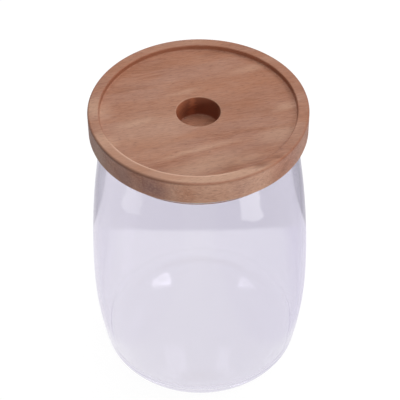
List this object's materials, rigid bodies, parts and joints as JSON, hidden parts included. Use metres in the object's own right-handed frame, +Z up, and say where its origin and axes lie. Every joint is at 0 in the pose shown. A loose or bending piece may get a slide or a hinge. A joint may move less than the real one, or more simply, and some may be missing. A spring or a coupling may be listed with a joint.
{
  "type": "glass storage jar",
  "caption": "Round glass storage jar with a gently bellied side and a flush wooden lid that lifts by a blind finger hole, sealed by a soft ring on its plug.",
  "frame": {"origin": "middle of the foot, on the surface that the jar stands on", "axes": "+Z up along the jar's axis, through the finger hole; +X to the right and -Y towards the viewer; the jar is round, so the grain of the lid alone tells X from Y"},
  "size_m": [0.1262, 0.1262, 0.1788],
  "materials": {
    "clear_glass": "clear, fire-polished, very slightly lilac where it is seen through twice",
    "lid_wood": "close-grained reddish-brown hardwood under a thin satin lacquer",
    "seal_silicone": "milky translucent silicone, matt"
  },
  "bodies": {
    "root": {"glass_jar": "clear_glass", "wood_lid": "lid_wood", "seal_ring": "seal_silicone"}
  },
  "joints": []
}
